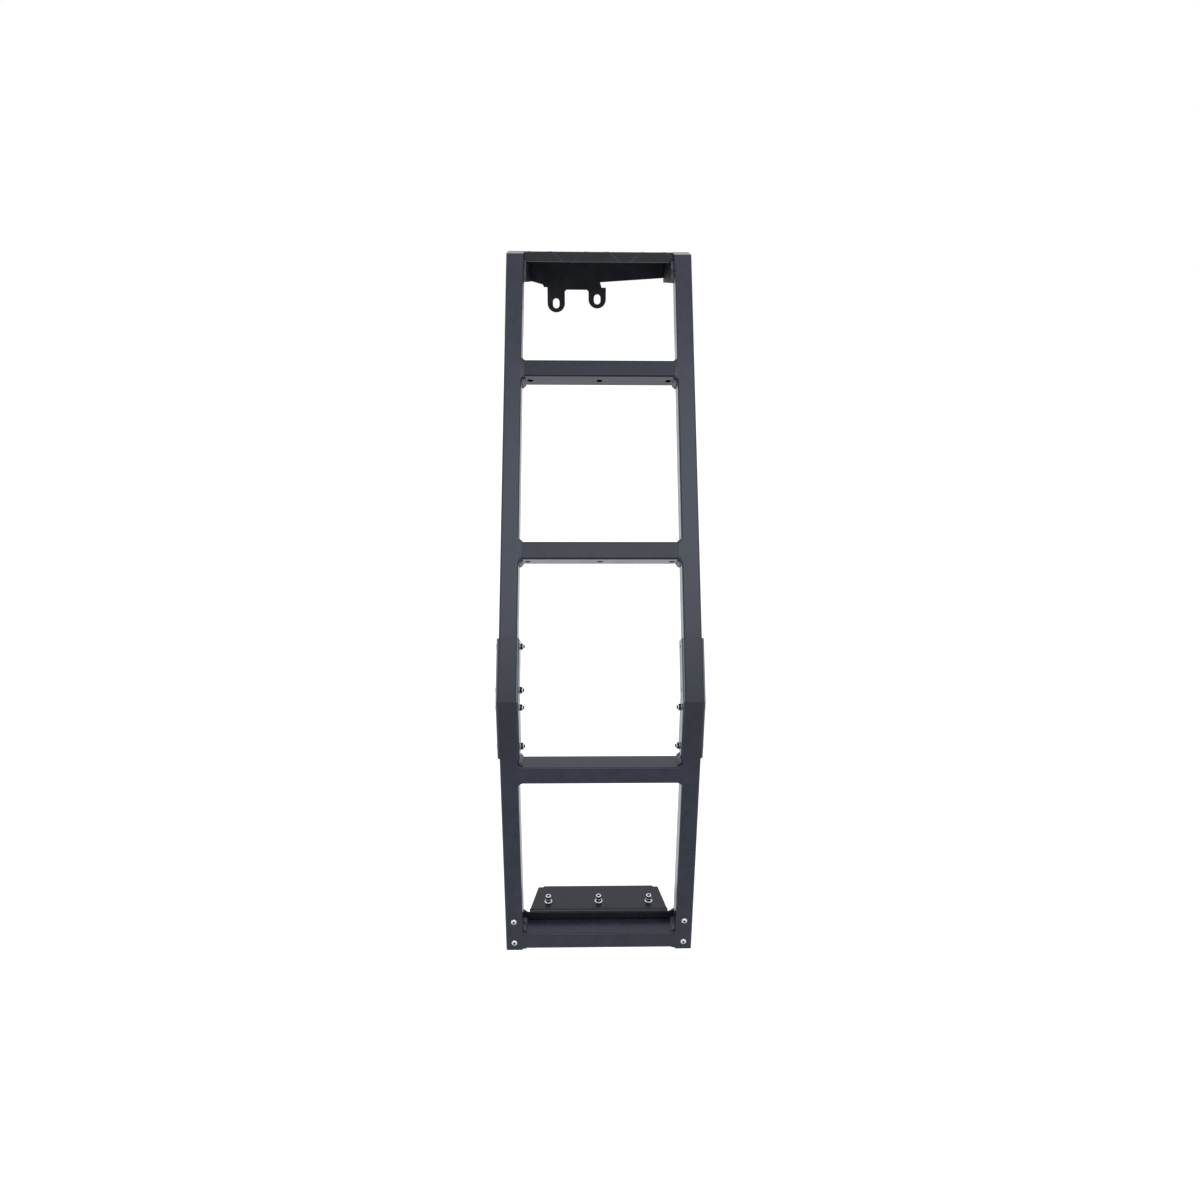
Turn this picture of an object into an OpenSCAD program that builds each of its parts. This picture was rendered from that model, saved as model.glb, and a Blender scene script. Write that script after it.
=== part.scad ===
// Tailgate ladder: two welded tube frames joined at a bend by bolted sleeves,
// a step and hook plate at the top and a clamping bracket at the bottom.
// The lower rails stand upright and the upper rails lean back over the rear window.

/* [Frame] */
// Overall width, outside to outside of the side rails
overall_w = 330; // [280:1:420]
// Width of the rail tube, seen from the front
rail_w = 30; // [24:1:40]
// Depth of the rail and rung tubes, front to back
rail_d = 40; // [32:1:50]
// Wall thickness of the tubes
tube_wall = 2; // [1.5:0.1:2.5]
// Outside corner radius of the tubes
tube_r = 3; // [2.6:0.1:4]
// Front face length of the upper rails, from the bend to the top
upper_len = 788; // [700:1:960]
// Front face length of the lower rails, from the bend to the bottom
lower_len = 491; // [400:1:600]
// Angle between the lower and the upper rails
bend = 29.6; // [20:0.1:38]
// Slope of the cut at the top of the rails, rising to the back
top_cut = 7.5; // [0:0.5:12]
// Thickness of the plates that close the rail ends
cap_t = 2; // [1.5:0.5:3]

/* [Rungs] */
// Height of the rung tubes, seen from the front
rung_h = 30; // [24:1:40]
// Top of the first rung below the front top edge of the upper rails
rung_1_drop = 202; // [150:1:250]
// Distance from the first rung to the second
upper_pitch = 323; // [240:1:360]
// Distance from the third rung to the bottom rung
lower_pitch = 337; // [240:1:360]
// Gap between the bottom rung and the lower ends of the rails
bottom_margin = 3; // [0:0.5:10]
// Diameter of the holes in the undersides of the rungs
rung_hole_d = 10; // [6:0.5:14]
// Distance of the outer holes from the ends of a rung
rung_hole_inset = 14.5; // [12:0.5:40]
// Leg of the weld beads between rungs and rails
weld_leg = 5; // [3:0.5:7]

/* [Elbow sleeves] */
// Wall thickness of a sleeve
sleeve_wall = 3; // [2:0.5:4]
// Gap all round between a sleeve and the rail inside it
sleeve_gap = 0.3; // [0.1:0.05:0.5]
// Length of each arm of a sleeve along its front face
sleeve_arm = 102; // [96:1:115]
// Bend to the nearer bolt of each arm
sleeve_bolt_near = 20; // [18:1:30]
// Distance between the two bolts of each arm
sleeve_bolt_pitch = 71; // [45:1:72]

/* [Top step] */
// Depth of the step plate from its front edge to the hook plate
step_d = 142; // [100:1:180]
// Thickness of the step sheet
step_t = 3; // [2:0.5:4]
// Height of the front lip of the step
lip_h = 17; // [12:0.5:30]
// Height of the side ears at the rails
ear_front_h = 53.5; // [35:0.5:60]
// Height of the side ears at the hook plate
ear_back_h = 50; // [30:0.5:60]
// How far the ears overlap the inner faces of the rails
ear_lap = 8; // [5:0.5:15]
// Top of the step below the back top edge of the rails
step_drop = 1; // [0:0.5:4]

/* [Hook plate] */
// Thickness of the hook plate
hook_t = 4; // [3:0.5:6]
// Height of the hook plate above the root of the tabs
hook_rise = 65; // [62:1:90]
// Height of the lower edge at the right end above the tab root
hook_right_h = 23.5; // [16:0.5:30]
// Height of the lower edge at the left end above the tab root
hook_left_h = 16.5; // [12:0.5:30]
// Width of the two bolting tabs
tab_w = 35; // [30:0.5:45]
// Distance of the outer tab from the middle one
tab_pitch = 82.5; // [70:0.5:95]
// Slot centre of the middle tab below the tab root
tab_1_drop = 18; // [16:0.5:40]
// Slot centre of the outer tab below the tab root
tab_2_drop = 26; // [16:0.5:40]
// Width of the slots
slot_w = 13; // [9:0.5:14]
// Length of the slots
slot_l = 19; // [15:0.5:22]
// Inside corner radius at the roots of the tabs
tab_root_r = 5; // [3:0.5:8]

/* [Bottom bracket] */
// Thickness of the bracket plate
bracket_t = 4; // [3:0.5:6]
// Height of the flange above the top of the bottom rung
flange_rise = 18; // [10:0.5:30]
// Depth of the flange behind the rails
flange_d = 63; // [50:1:90]
// Width of the flange at the bend
flange_root_w = 250; // [200:1:256]
// Width of the flange at its free edge
flange_tip_w = 224; // [180:1:250]
// How far the middle of the free edge stands out past its corners
flange_ledge = 3; // [0:0.5:6]
// Distance between the clamp screws
clamp_pitch = 92; // [60:1:100]
// Distance of the clamp screws behind the rails
clamp_back = 25; // [18:0.5:40]
// Lower rail bolts above the ends of the rails
rail_bolt_low = 17; // [12:0.5:25]
// Distance between the two bolts of each rail
rail_bolt_pitch = 45; // [35:1:55]

/* [Fasteners] */
// Thread diameter of all screws
screw_d = 6; // [5:1:6]
// Hole clearance on the diameter
hole_gap = 0.6; // [0.4:0.1:1]
// Diameter of the domed heads
dome_d = 10.5; // [9:0.5:12]
// Height of the domed heads
dome_h = 3.3; // [2.5:0.1:4]
// Diameter of the clamp screw heads
cap_head_d = 10; // [8.5:0.5:12]
// Height of the clamp screw heads
cap_head_h = 6; // [5:0.5:8]
// Width across the flats of the nuts
nut_af = 10; // [8:0.5:11]
// Height of the nuts
nut_h = 6; // [4:0.5:7]
// Diameter of the flange under each clamp nut
nut_flange_d = 14; // [11:0.5:16]
// Thickness of the flange under each clamp nut
nut_flange_t = 1.5; // [1:0.25:2]
// Screw end standing out of a nut
screw_end = 2; // [1:0.5:4]
// Length of the clamp screws under the flange
clamp_reach = 12; // [6:1:20]

/* [Hidden] */
$fn = 48;

coat = "#3d3f48";
coat_dark = "#2b2c32";
steel = "#b9bcc2";

// Room that a cutting block has past what it cuts
over = 1;
// Size of the blocks that cut a tube at a plane
big = 3000;
// Running room between a thread and its nut
thread_gap = 0.1;
// Gap between the two tube ends inside a sleeve
joint_gap = 2;
// Width of the relief beside the root of the flange
relief_w = 5;
// Corner of the free edge to the start of its ledge
ledge_inset = 8;
// Top of the wings above the upper rail bolts
wing_margin = 12;
// How far the wings end short of the outer faces of the rails
wing_inset = 2;
// Lower edge of the hook plate beside the tabs: its height, its width, and the step up
edge_low = 4.5;
edge_flat = 7;
edge_step = 5;
edge_run = 2;
// Front edges of the ears behind the face of the lip
ear_setback = 0.5;
// Inside radius of the bends in the plates
bend_r = 2;
// Key socket of a screw head
socket_af = 4;
socket_depth = 2;
// Flat in the middle of a domed head
dome_flat = 0.55;

inner_w = overall_w - 2 * rail_w;
rail_x = overall_w / 2 - rail_w / 2;

// Sleeve section and bolt places along the rails
sleeve_w = rail_w + 2 * (sleeve_gap + sleeve_wall);
sleeve_bolts = [sleeve_bolt_near, sleeve_bolt_near + sleeve_bolt_pitch];
rail_end = rail_d * tan(bend / 2) + joint_gap / 2;

// Rung tops, measured along the front faces from the bend
rung_1_s = upper_len - rung_1_drop;
rung_2_s = rung_1_s - upper_pitch;
bottom_rung_s = -lower_len + bottom_margin + rung_h;
rung_3_s = bottom_rung_s + lower_pitch;

// Front and back top edges of the rails
top_y = upper_len * sin(bend);
top_z = upper_len * cos(bend);
cut_run = rail_d * tan(bend + top_cut);
back_top_y = top_y + rail_d * cos(bend) + cut_run * sin(bend);
back_top_z = top_z - rail_d * sin(bend) + cut_run * cos(bend);

// Step plate: its top, its front edge and its back edge
step_z = back_top_z - step_drop;
step_y = rail_back_y(step_z) - ear_lap / cos(bend);
hook_y = step_y + step_d;
root_z = step_z - hook_rise;

// Bottom bracket: height of the flange's top face
flange_z = bottom_rung_s + flange_rise;
rail_bolt_z = [-lower_len + rail_bolt_low + rail_bolt_pitch, -lower_len + rail_bolt_low];
clamp_y = rail_d + clamp_back;

// Place of the back face of the upper rails at a height
function rail_back_y(z) = back_top_y - (back_top_z - z) * tan(bend);

// The origin lies on the back face of the hook plate, level with the tab root
module in_place() {
    translate([0, -(hook_y + hook_t), -root_z]) children();
}

// The upper frame is drawn upright and leans back at the bend
module upper() {
    rotate([-bend, 0, 0]) children();
}

// Flat rounded rectangle with its front left corner at the origin
module rounded_box(w, d, r) {
    translate([r, 0]) square([w - 2 * r, d]);
    translate([0, r]) square([w, d - 2 * r]);
    for (x = [r, w - r])
        for (y = [r, d - r])
            translate([x, y]) circle(r);
}

// Section of a tube: the outline less its bore
module tube_section(w, d, r, wall) {
    difference() {
        rounded_box(w, d, r);
        translate([wall, wall]) rounded_box(w - 2 * wall, d - 2 * wall, r - wall);
    }
}

module rail_outline() {
    rounded_box(rail_w, rail_d, tube_r);
}

module rail_section() {
    tube_section(rail_w, rail_d, tube_r, tube_wall);
}

// A rail at its side of the ladder: -1 is the left, 1 the right
module at_side(side) {
    translate([side < 0 ? -overall_w / 2 : overall_w / 2 - rail_w, 0, 0]) children();
}

// Everything above the sloping cut, which a cap's thickness can lower
module above_cut(lower = 0) {
    translate([0, top_y, top_z])
        rotate([top_cut, 0, 0])
            translate([-big / 2, -big / 2, -lower])
                cube([big, big, big]);
}

// Holes across a rail for the bolts of a sleeve
module sleeve_bolt_holes(direction) {
    for (s = sleeve_bolts)
        translate([-over - rail_w, rail_d / 2, direction * s])
            rotate([0, 90, 0])
                cylinder(d = screw_d + hole_gap, h = 3 * rail_w + 2 * over);
}

module upper_rail(side) {
    difference() {
        upper() at_side(side) {
            difference() {
                translate([0, 0, rail_end])
                    linear_extrude(upper_len + cut_run) rail_section();
                sleeve_bolt_holes(1);
            }
        }
        above_cut(cap_t);
    }
}

module lower_rail(side) {
    at_side(side) difference() {
        translate([0, 0, -lower_len + cap_t])
            linear_extrude(lower_len - cap_t - rail_end) rail_section();
        sleeve_bolt_holes(-1);
        for (z = rail_bolt_z)
            translate([rail_w / 2, -over, z])
                rotate([-90, 0, 0])
                    cylinder(d = screw_d + hole_gap, h = rail_d + 2 * over);
    }
}

module top_cap(side) {
    difference() {
        intersection() {
            upper() at_side(side)
                translate([0, 0, rail_end])
                    linear_extrude(upper_len + cut_run) rail_outline();
            above_cut(cap_t);
        }
        above_cut();
    }
}

module bottom_cap(side) {
    at_side(side)
        translate([0, 0, -lower_len])
            linear_extrude(cap_t) rail_outline();
}

// A rung between the rails with its top face at height s
module rung(s) {
    difference() {
        translate([-inner_w / 2, 0, s - rung_h])
            rotate([90, 0, 90])
                linear_extrude(inner_w)
                    tube_section(rail_d, rung_h, tube_r, tube_wall);
        for (x = [-inner_w / 2 + rung_hole_inset, 0, inner_w / 2 - rung_hole_inset])
            translate([x, rail_d / 2, s - rung_h - over])
                cylinder(d = rung_hole_d, h = tube_wall + 2 * over);
    }
}

// Weld beads at both ends of a rung, above it and, where there is room, below it
module rung_welds(s, below = true) {
    for (side = [-1, 1])
        for (face = below ? [[s, 1], [s - rung_h, -1]] : [[s, 1]])
            translate([side * inner_w / 2, tube_r, face[0]])
                rotate([-90, 0, 0])
                    linear_extrude(rail_d - 2 * tube_r)
                        polygon([[0, 0], [-side * weld_leg, 0], [0, -face[1] * weld_leg]]);
}

// Section of a sleeve around a rail
module sleeve_section() {
    grow = sleeve_gap + sleeve_wall;
    translate([-grow, -grow])
        tube_section(rail_w + 2 * grow, rail_d + 2 * grow, tube_r + grow, sleeve_wall);
}

// Lower arm of a sleeve, mitred at the bend where the upper arm is welded on
module sleeve_arm_below() {
    difference() {
        intersection() {
            translate([0, 0, -sleeve_arm])
                linear_extrude(2 * sleeve_arm) sleeve_section();
            rotate([-bend / 2, 0, 0])
                translate([-big / 2, -big / 2, -big])
                    cube([big, big, big]);
        }
        sleeve_bolt_holes(-1);
    }
}

// The upper arm mirrors the lower one in the mitre plane
module sleeve_upper(side) {
    at_side(side)
        mirror([0, sin(bend / 2), cos(bend / 2)]) sleeve_arm_below();
}

module sleeve_lower(side) {
    at_side(side) sleeve_arm_below();
}

// Outline of the step's plate and front lip, seen from the side. The lip leans with the rails
module step_profile() {
    r = bend_r + step_t;
    start = r * tan(45 - bend / 2);
    lip = lip_h / cos(bend);
    translate([start, -step_t]) square([step_d - start, step_t]);
    rotate(-bend) translate([0, -lip]) square([step_t, lip - start]);
    translate([start, -r]) intersection() {
        difference() {
            circle(r);
            circle(bend_r);
        }
        polygon([[0, 0], [0, 2 * r], [-2 * r * cos(bend), 2 * r * sin(bend)]]);
    }
}

// Outline of a side ear, seen from the side. Its front edge runs parallel with the lip
module ear_profile() {
    polygon([
        [ear_setback - step_t * tan(bend), -step_t],
        [step_d, -step_t],
        [step_d, -ear_back_h],
        [ear_setback - ear_front_h * tan(bend), -ear_front_h]
    ]);
}

module top_step() {
    translate([0, step_y, step_z]) {
        translate([-inner_w / 2, 0, 0])
            rotate([90, 0, 90])
                linear_extrude(inner_w) step_profile();
        for (x = [-inner_w / 2, inner_w / 2 - step_t])
            translate([x, 0, 0])
                rotate([90, 0, 90])
                    linear_extrude(step_t) ear_profile();
    }
}

// Beads where the ears meet the inner faces of the rails
module ear_welds() {
    run = (ear_front_h - lip_h) / cos(bend);
    for (side = [-1, 1])
        translate([side * inner_w / 2, step_y + ear_setback, step_z])
            rotate([-bend, 0, 0])
                translate([0, 0, -lip_h / cos(bend) - run])
                    linear_extrude(run)
                        polygon([[0, 0], [-side * step_t, 0], [0, -step_t]]);
}

module slot() {
    half = (slot_l - slot_w) / 2;
    translate([-slot_w / 2, -half]) square([slot_w, 2 * half]);
    for (z = [-half, half])
        translate([0, z]) circle(d = slot_w);
}

// Outline of the hook plate, its tab root at height 0, less the round ends of the tabs
module hook_body() {
    half = inner_w / 2;
    tab = tab_w / 2;
    far = -tab_pitch;
    r = tab_root_r;
    polygon([
        [-half, hook_rise],
        [half, hook_rise],
        [half, hook_right_h],
        [tab / 3, edge_low + 2 * edge_step],
        [tab / 2, edge_low],
        [tab, edge_low],
        [tab, -tab_1_drop],
        [-tab, -tab_1_drop],
        [-tab, -r],
        [-tab - r, -r],
        [-tab - r, 0],
        [far + tab + r, 0],
        [far + tab + r, -r],
        [far + tab, -r],
        [far + tab, -tab_2_drop],
        [far - tab, -tab_2_drop],
        [far - tab, edge_low],
        [far - tab - edge_flat, edge_low],
        [far - tab - edge_flat - edge_run, edge_low + edge_step],
        [-half, hook_left_h]
    ]);
}

// Two bolting tabs with round ends and upright slots hang below the plate
module hook_plate() {
    far = -tab_pitch;
    side = tab_w / 2 + tab_root_r;
    thick = hook_t + 2 * over;
    translate([0, hook_y + hook_t, root_z])
        rotate([90, 0, 0])
            difference() {
                union() {
                    linear_extrude(hook_t) hook_body();
                    translate([0, -tab_1_drop, 0]) cylinder(d = tab_w, h = hook_t);
                    translate([far, -tab_2_drop, 0]) cylinder(d = tab_w, h = hook_t);
                }
                for (x = [-side, far + side])
                    translate([x, -tab_root_r, -over]) cylinder(r = tab_root_r, h = thick);
                translate([0, -tab_1_drop, -over]) linear_extrude(thick) slot();
                translate([far, -tab_2_drop, -over]) linear_extrude(thick) slot();
            }
}

// Flat flange of the bottom bracket, seen from above
module flange_outline() {
    root = flange_root_w / 2;
    tip = flange_tip_w / 2;
    ledge = tip - ledge_inset;
    polygon([
        [-root, 0],
        [root, 0],
        [tip, flange_d],
        [ledge, flange_d],
        [ledge - flange_ledge, flange_d + flange_ledge],
        [-ledge + flange_ledge, flange_d + flange_ledge],
        [-ledge, flange_d],
        [-tip, flange_d]
    ]);
}

// Upright plate of the bottom bracket with its wings behind the rails
module bracket_back_outline() {
    low = -lower_len + bottom_margin;
    bend_top = flange_z - bend_r - bracket_t;
    wing_top = rail_bolt_z[0] + wing_margin;
    wing_x = overall_w / 2 - wing_inset;
    notch_x = flange_root_w / 2 + relief_w;
    rise = wing_top - (flange_z - bracket_t);
    polygon([
        [-wing_x, low],
        [wing_x, low],
        [wing_x, wing_top],
        [notch_x + rise, wing_top],
        [notch_x, flange_z - bracket_t],
        [notch_x - relief_w, bend_top],
        [-notch_x + relief_w, bend_top],
        [-notch_x, flange_z - bracket_t],
        [-notch_x - rise, wing_top],
        [-wing_x, wing_top]
    ]);
}

// The rounded bend between the upright plate and the flange
module bracket_bend() {
    r = bend_r + bracket_t;
    translate([-flange_root_w / 2, rail_d, flange_z])
        rotate([90, 0, 90])
            linear_extrude(flange_root_w)
                intersection() {
                    translate([r, -r]) difference() {
                        circle(r);
                        circle(bend_r);
                    }
                    translate([0, -r]) square([r, r]);
                }
}

module bottom_bracket() {
    r = bend_r + bracket_t;
    difference() {
        union() {
            translate([0, rail_d + bracket_t, 0])
                rotate([90, 0, 0])
                    linear_extrude(bracket_t) bracket_back_outline();
            intersection() {
                translate([0, rail_d, flange_z - bracket_t])
                    linear_extrude(bracket_t) flange_outline();
                translate([-big / 2, rail_d + r, flange_z - 2 * r])
                    cube([big, big, 3 * r]);
            }
            bracket_bend();
        }
        for (side = [-1, 1])
            for (z = rail_bolt_z)
                translate([side * rail_x, rail_d - over, z])
                    rotate([-90, 0, 0])
                        cylinder(d = screw_d + hole_gap, h = bracket_t + 2 * over);
        for (i = [-1:1])
            translate([i * clamp_pitch, clamp_y, flange_z - bracket_t - over])
                cylinder(d = screw_d + hole_gap, h = bracket_t + 2 * over);
    }
}

// Domed screw along +Z: the head's seat is at the origin, the shank above it
module domed_screw(len) {
    difference() {
        union() {
            cylinder(d = screw_d, h = len);
            rotate([180, 0, 0])
                rotate_extrude()
                    polygon([
                        [0, 0],
                        [dome_d / 2, 0],
                        [dome_d / 2, dome_h / 4],
                        [dome_d / 2 * 0.88, dome_h * 0.6],
                        [dome_d / 2 * dome_flat, dome_h],
                        [0, dome_h]
                    ]);
        }
        translate([0, 0, -dome_h - over])
            cylinder(r = socket_af / sqrt(3), h = socket_depth + over, $fn = 6);
    }
}

// Nut along +Z with its seat at the origin
module nut() {
    difference() {
        cylinder(r = nut_af / sqrt(3), h = nut_h, $fn = 6);
        translate([0, 0, -over])
            cylinder(d = screw_d + 2 * thread_gap, h = nut_h + 2 * over);
    }
}

// Places on a side's sleeve, with +Z pointing inwards from the outer face
module at_sleeve_bolt(side, i) {
    direction = i <= 2 ? 1 : -1;
    s = sleeve_bolts[(i == 1 || i == 4) ? 1 : 0];
    rotate([direction > 0 ? -bend : 0, 0, 0])
        translate([side * (overall_w / 2 + sleeve_gap + sleeve_wall), rail_d / 2, direction * s])
            rotate([0, -side * 90, 0]) children();
}

module sleeve_bolt(side, i) {
    at_sleeve_bolt(side, i) domed_screw(sleeve_w + nut_h + screw_end);
}

module sleeve_nut(side, i) {
    at_sleeve_bolt(side, i) translate([0, 0, sleeve_w]) nut();
}

module at_rail_bolt(side, i) {
    translate([side * rail_x, 0, rail_bolt_z[i - 1]])
        rotate([-90, 0, 0]) children();
}

module rail_bolt(side, i) {
    at_rail_bolt(side, i) domed_screw(rail_d + bracket_t + nut_h + screw_end);
}

module rail_nut(side, i) {
    at_rail_bolt(side, i) translate([0, 0, rail_d + bracket_t]) nut();
}

// Places of the three clamp screws on the top face of the flange
module at_clamp_screws() {
    for (i = [-1:1])
        translate([i * clamp_pitch, clamp_y, flange_z]) children();
}

module clamp_screws() {
    at_clamp_screws() difference() {
        union() {
            translate([0, 0, nut_h]) cylinder(d = cap_head_d, h = cap_head_h);
            translate([0, 0, -bracket_t - clamp_reach])
                cylinder(d = screw_d, h = nut_h + bracket_t + clamp_reach);
        }
        translate([0, 0, nut_h + cap_head_h - socket_depth])
            cylinder(r = socket_af / sqrt(3), h = socket_depth + over, $fn = 6);
    }
}

module clamp_nuts() {
    at_clamp_screws() difference() {
        union() {
            cylinder(r = nut_af / sqrt(3), h = nut_h, $fn = 6);
            cylinder(d = nut_flange_d, h = nut_flange_t);
        }
        translate([0, 0, -over])
            cylinder(d = screw_d + 2 * thread_gap, h = nut_h + 2 * over);
    }
}

module upper_welds() {
    upper() {
        rung_welds(rung_1_s);
        rung_welds(rung_2_s);
    }
    ear_welds();
}

module lower_welds() {
    rung_welds(rung_3_s);
    rung_welds(bottom_rung_s, false);
}

in_place() color(coat) upper_rail(-1);  // left_upper_rail
in_place() color(coat) upper_rail(1);  // right_upper_rail
in_place() color(coat) lower_rail(-1);  // left_lower_rail
in_place() color(coat) lower_rail(1);  // right_lower_rail
in_place() color(coat) upper() rung(rung_1_s);  // first_rung
in_place() color(coat) upper() rung(rung_2_s);  // second_rung
in_place() color(coat) rung(rung_3_s);  // third_rung
in_place() color(coat) rung(bottom_rung_s);  // bottom_rung
in_place() color(coat) sleeve_upper(-1);  // left_sleeve_upper
in_place() color(coat) sleeve_lower(-1);  // left_sleeve_lower
in_place() color(coat) sleeve_upper(1);  // right_sleeve_upper
in_place() color(coat) sleeve_lower(1);  // right_sleeve_lower
in_place() color(coat) top_cap(-1);  // left_top_cap
in_place() color(coat) top_cap(1);  // right_top_cap
in_place() color(coat) bottom_cap(-1);  // left_bottom_cap
in_place() color(coat) bottom_cap(1);  // right_bottom_cap
in_place() color(coat_dark) top_step();
in_place() color(coat_dark) hook_plate();
in_place() color(coat_dark) bottom_bracket();
in_place() color(coat) upper_welds();
in_place() color(coat) lower_welds();
in_place() color(steel) sleeve_bolt(-1, 1);  // left_sleeve_bolt_1
in_place() color(steel) sleeve_bolt(-1, 2);  // left_sleeve_bolt_2
in_place() color(steel) sleeve_bolt(-1, 3);  // left_sleeve_bolt_3
in_place() color(steel) sleeve_bolt(-1, 4);  // left_sleeve_bolt_4
in_place() color(steel) sleeve_nut(-1, 1);  // left_sleeve_nut_1
in_place() color(steel) sleeve_nut(-1, 2);  // left_sleeve_nut_2
in_place() color(steel) sleeve_nut(-1, 3);  // left_sleeve_nut_3
in_place() color(steel) sleeve_nut(-1, 4);  // left_sleeve_nut_4
in_place() color(steel) sleeve_bolt(1, 3);  // right_sleeve_bolt_3
in_place() color(steel) sleeve_bolt(1, 4);  // right_sleeve_bolt_4
in_place() color(steel) sleeve_nut(1, 3);  // right_sleeve_nut_3
in_place() color(steel) sleeve_nut(1, 4);  // right_sleeve_nut_4
in_place() color(steel) rail_bolt(-1, 1);  // left_rail_bolt_1
in_place() color(steel) rail_bolt(-1, 2);  // left_rail_bolt_2
in_place() color(steel) rail_bolt(1, 1);  // right_rail_bolt_1
in_place() color(steel) rail_bolt(1, 2);  // right_rail_bolt_2
in_place() color(steel) rail_nut(-1, 1);  // left_rail_nut_1
in_place() color(steel) rail_nut(-1, 2);  // left_rail_nut_2
in_place() color(steel) rail_nut(1, 1);  // right_rail_nut_1
in_place() color(steel) rail_nut(1, 2);  // right_rail_nut_2
in_place() color(steel) clamp_screws();
in_place() color(steel) clamp_nuts();
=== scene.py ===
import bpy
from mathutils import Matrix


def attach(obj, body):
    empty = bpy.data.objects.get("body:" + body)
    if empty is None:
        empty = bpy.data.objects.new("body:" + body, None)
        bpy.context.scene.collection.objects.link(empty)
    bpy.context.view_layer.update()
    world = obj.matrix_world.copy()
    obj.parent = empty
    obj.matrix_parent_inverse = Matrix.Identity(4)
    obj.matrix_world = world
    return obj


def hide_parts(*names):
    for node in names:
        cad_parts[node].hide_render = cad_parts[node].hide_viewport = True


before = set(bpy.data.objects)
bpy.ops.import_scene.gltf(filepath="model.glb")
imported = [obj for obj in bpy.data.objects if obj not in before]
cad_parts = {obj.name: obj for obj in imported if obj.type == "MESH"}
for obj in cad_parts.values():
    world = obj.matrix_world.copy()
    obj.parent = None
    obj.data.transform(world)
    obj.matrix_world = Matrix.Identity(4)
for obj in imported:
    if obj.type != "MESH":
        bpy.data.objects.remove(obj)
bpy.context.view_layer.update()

import math

import bpy
from mathutils import Matrix, Vector

# Side rails and rungs: rectangular steel tube of 30 x 40 mm with a 2 mm wall, sawn, welded
# and powder coated in satin black. The baked coat is smooth to the hand but has a fine
# orange peel, and under a flat light it looks a little blue.
MM = 0.001
PATCH_SIZE = 22 * MM
COAT_TINT = (0.9, 0.94, 1.0, 1)
CAD_MERGE = 0.002 * MM
CUT_MERGE = 0.006 * MM
IN_PLANE = 0.02 * MM
FLAT = math.radians(0.2)
SHARP = math.radians(35)


def colour(hex_code):
    """An sRGB hex colour as the linear colour that a shader takes."""
    parts = [int(hex_code[i:i + 2], 16) / 255 for i in (1, 3, 5)]
    return tuple(
        p / 12.92 if p <= 0.04045 else ((p + 0.055) / 1.055) ** 2.4 for p in parts
    ) + (1.0,)


def add_node(material, kind, settings=None, links=None):
    """Adds one node, sets its sockets and properties, and links its inputs."""
    node = material.node_tree.nodes.new(kind)
    for name, value in (settings or {}).items():
        if name in node.inputs:
            node.inputs[name].default_value = value
        else:
            setattr(node, name, value)
    for name, source in (links or {}).items():
        material.node_tree.links.new(source, node.inputs[name])
    return node


def coat_material(name, light, dark, peel, rough, ior=1.46):
    """Powder coat: two close tones in soft patches, orange peel and an uneven satin.

    peel is the size and depth of the orange peel in millimetres, both drawn coarser than
    the real 0.5 mm and a few microns so that they show, and rough is a low and a high.
    """
    coat = bpy.data.materials.new(name)
    coat.use_nodes = True
    shader = coat.node_tree.nodes["Principled BSDF"]
    place = add_node(coat, "ShaderNodeTexCoord")
    patches = add_node(
        coat, "ShaderNodeTexNoise",
        {"Scale": 1 / PATCH_SIZE, "Detail": 3.0, "Roughness": 0.55},
        {"Vector": place.outputs["Object"]},
    )
    tones = add_node(coat, "ShaderNodeValToRGB", links={"Fac": patches.outputs["Fac"]})
    for stop, position, tone in zip(tones.color_ramp.elements, (0.3, 0.7), (dark, light)):
        stop.position = position
        stop.color = colour(tone)
    satin = add_node(
        coat, "ShaderNodeMapRange",
        {"From Min": 0.3, "From Max": 0.7, "To Min": rough[0], "To Max": rough[1]},
        {"Value": patches.outputs["Fac"]},
    )
    grain = add_node(
        coat, "ShaderNodeTexNoise",
        {"Scale": 1 / (peel[0] * MM), "Detail": 2.0, "Roughness": 0.5},
        {"Vector": place.outputs["Object"]},
    )
    bump = add_node(
        coat, "ShaderNodeBump",
        {"Strength": 0.6, "Distance": peel[1] * MM},
        {"Height": grain.outputs["Fac"]},
    )
    coat.node_tree.links.new(tones.outputs["Color"], shader.inputs["Base Color"])
    coat.node_tree.links.new(satin.outputs["Result"], shader.inputs["Roughness"])
    coat.node_tree.links.new(bump.outputs["Normal"], shader.inputs["Normal"])
    shader.inputs["IOR"].default_value = ior
    shader.inputs["Specular Tint"].default_value = COAT_TINT
    return coat


def select_only(*pieces):
    """Selects these pieces and makes the first one active."""
    bpy.ops.object.select_all(action="DESELECT")
    for piece in pieces:
        piece.select_set(True)
    bpy.context.view_layer.objects.active = pieces[0]


def edit_all(piece):
    """Enters edit mode on a piece with all of it selected."""
    select_only(piece)
    bpy.ops.object.mode_set(mode="EDIT")
    bpy.ops.mesh.select_all(action="SELECT")


def edit_only(piece, kind, chosen):
    """Enters edit mode with some corners, edges or faces selected.

    chosen is given the places of the corners of each, and says whether to take it.
    """
    edit_all(piece)
    bpy.ops.mesh.select_mode(type=kind)
    bpy.ops.mesh.select_all(action="DESELECT")
    bpy.ops.object.mode_set(mode="OBJECT")
    mesh = piece.data
    parts = {"VERT": mesh.vertices, "EDGE": mesh.edges, "FACE": mesh.polygons}[kind]
    for part in parts:
        corners = [part] if kind == "VERT" else [mesh.vertices[i] for i in part.vertices]
        part.select = chosen([corner.co for corner in corners])
    bpy.ops.object.mode_set(mode="EDIT")


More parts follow.
